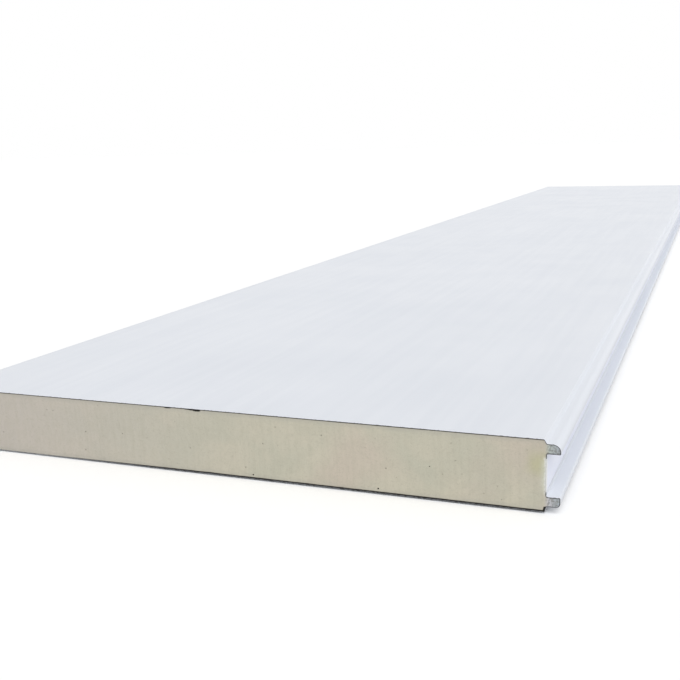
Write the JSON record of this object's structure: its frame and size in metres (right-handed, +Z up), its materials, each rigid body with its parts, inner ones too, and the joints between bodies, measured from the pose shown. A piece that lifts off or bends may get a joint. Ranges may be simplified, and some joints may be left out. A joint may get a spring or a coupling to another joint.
{
  "type": "insulated sandwich panel",
  "caption": "Foam-cored wall panel with thin steel facings, tongues along one long edge and matching grooves along the other, cut square at its ends.",
  "frame": {"origin": "middle of the underside, halfway along and halfway across the panel over its tongues", "axes": "+X across the panel towards the tongues, +Y along the panel, +Z up through its thickness"},
  "size_m": [1.017, 6, 0.1],
  "materials": {
    "foam": "saw-cut rigid polyurethane foam, fine cells, pale beige, yellowed near the tongue edge",
    "coated_steel": "smooth white coil coating, satin, dark bare steel at the cut ends",
    "edge_tape": "thin white film, slightly wrinkled where it lies on the foam"
  },
  "bodies": {
    "root": {"foam_core": "foam", "top_skin": "coated_steel", "bottom_skin": "coated_steel", "tongue_side_tape": "edge_tape", "groove_side_tape": "edge_tape"}
  },
  "joints": []
}
